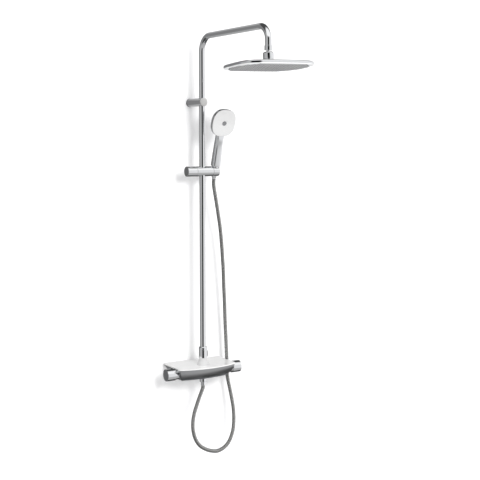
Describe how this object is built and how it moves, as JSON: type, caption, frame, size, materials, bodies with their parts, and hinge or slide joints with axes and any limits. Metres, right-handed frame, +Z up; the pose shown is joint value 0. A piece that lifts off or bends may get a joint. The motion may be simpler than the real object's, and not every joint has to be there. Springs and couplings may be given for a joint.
{
  "type": "rainfall shower column",
  "caption": "Wall-mounted rainfall shower column: shelf-topped thermostatic mixer, riser with sliding handset holder, swan-neck arm, swivelling rain head and hose-fed handset.",
  "frame": {"origin": "on the wall, midway between the two wall inlets, at the height of the mixer's axis", "axes": "+Z up, +Y into the wall, -Y into the room, +X to the right when facing the wall"},
  "size_m": [0.312, 0.6773, 1.557],
  "materials": {
    "chrome": "polished chrome plate",
    "chrome_soft": "chrome plate with a softer sheen",
    "face_steel": "satin steel spray face",
    "satin_grey": "satin grey end discs",
    "white_glass": "white glossy top",
    "white_plastic": "glossy white plastic",
    "grey_plastic": "dark grey moulded plastic",
    "cartridge_plastic": "natural moulded plastic",
    "silicone": "grey silicone nozzles",
    "silicone_pale": "pale grey silicone nozzles",
    "seal_rubber": "black sealing rubber",
    "brass": "machined brass",
    "stainless": "stainless fasteners",
    "hose_steel": "spiral wound metal hose"
  },
  "bodies": {
    "column": {"wall_unions": "chrome", "wall_roses": "chrome", "union_nuts": "chrome", "check_valves": "white_plastic", "mixer_body": "brass", "mixer_cover": "chrome_soft", "shelf": "white_glass", "shelf_pads": "seal_rubber", "riser_hub": "white_plastic", "riser_nipple": "brass", "riser_o_rings": "seal_rubber", "riser_collar": "chrome", "collar_lock": "grey_plastic", "riser_tube": "chrome", "thermostat_cartridge": "cartridge_plastic", "flow_cartridge": "cartridge_plastic", "temperature_scale_ring": "chrome", "flow_stop_ring": "chrome", "hose_outlet": "chrome", "hose_lower_nut": "chrome", "hose_lower_ferrule": "chrome", "hose": "hose_steel", "bracket_base": "grey_plastic", "bracket_wall_screw": "stainless", "bracket_sleeve": "chrome", "bracket_grub_screw": "stainless", "bracket_cap": "chrome_soft", "arm_coupler": "brass", "arm_pipe": "chrome", "arm_end_sleeve": "chrome", "ball_stem": "chrome"},
    "temperature_control": {"temperature_knob": "chrome", "temperature_cap": "satin_grey", "temperature_spindle": "brass", "button_spring": "stainless"},
    "stop_button": {"safety_button": "grey_plastic"},
    "flow_control": {"flow_knob": "chrome", "flow_cap": "satin_grey", "flow_spindle": "brass"},
    "slider": {"slider_body": "chrome", "slider_liner": "grey_plastic"},
    "slider_clamp": {"slider_knob": "chrome", "slider_knob_cap": "satin_grey", "slider_clamp_screw": "stainless"},
    "handset_holder": {"holder": "chrome"},
    "handset": {"handset_shell": "chrome_soft", "handset_face": "white_plastic", "handset_nozzles": "silicone_pale", "handset_badge": "satin_grey", "handset_inlet": "brass", "hose_upper_nut": "chrome", "hose_upper_ferrule": "chrome"},
    "head_tilt_ring": {"friction_ring": "cartridge_plastic"},
    "head_seal_ring": {"ball_seal": "seal_rubber"},
    "rain_head": {"swivel_nut": "chrome", "head_inlet": "chrome", "head_shell": "chrome_soft", "head_face": "face_steel", "head_nozzles": "silicone"}
  },
  "joints": [
    {"name": "temperature_turn", "type": "hinge", "parent": "column", "child": "temperature_control", "pos_m": [-0.139, -0.093, 0], "axis": [-1, 0, 0], "range_deg": [-180, 60]},
    {"name": "safety_button_press", "type": "slide", "parent": "temperature_control", "child": "stop_button", "axis": [0, 0, -1], "range_m": [0, 0.0018], "stiffness_N_per_m": 1500, "springref_m": -0.001, "deforming": ["button_spring"]},
    {"name": "flow_turn", "type": "hinge", "parent": "column", "child": "flow_control", "pos_m": [0.139, -0.093, 0], "axis": [1, 0, 0], "range_deg": [-90, 90]},
    {"name": "slider_travel", "type": "slide", "parent": "column", "child": "slider", "axis": [0, 0, 1], "range_m": [-0.6, 0.2], "deforming": ["hose"]},
    {"name": "slider_clamp_turn", "type": "hinge", "parent": "slider", "child": "slider_clamp", "pos_m": [-0.047, -0.093, 0.741], "axis": [-1, 0, 0], "range_deg": [0, 180]},
    {"name": "holder_tilt", "type": "hinge", "parent": "slider", "child": "handset_holder", "pos_m": [0.053, -0.093, 0.741], "axis": [1, 0, 0], "range_deg": [-8, 40], "deforming": ["hose"]},
    {"name": "handset_lift", "type": "slide", "parent": "handset_holder", "child": "handset", "axis": [0, -0.2504, 0.9681], "range_m": [0, 0.06], "deforming": ["hose"]},
    {"name": "head_pitch", "type": "hinge", "parent": "column", "child": "head_tilt_ring", "pos_m": [0, -0.533, 1.128], "axis": [1, 0, 0], "range_deg": [-8, 15]},
    {"name": "head_roll", "type": "hinge", "parent": "head_tilt_ring", "child": "head_seal_ring", "pos_m": [0, -0.533, 1.128], "axis": [0, 1, 0], "range_deg": [-10, 13]},
    {"name": "head_spin", "type": "hinge", "parent": "head_seal_ring", "child": "rain_head", "pos_m": [0, -0.533, 1.128], "axis": [-0.0226, 0.0645, 0.9977], "continuous": true}
  ]
}
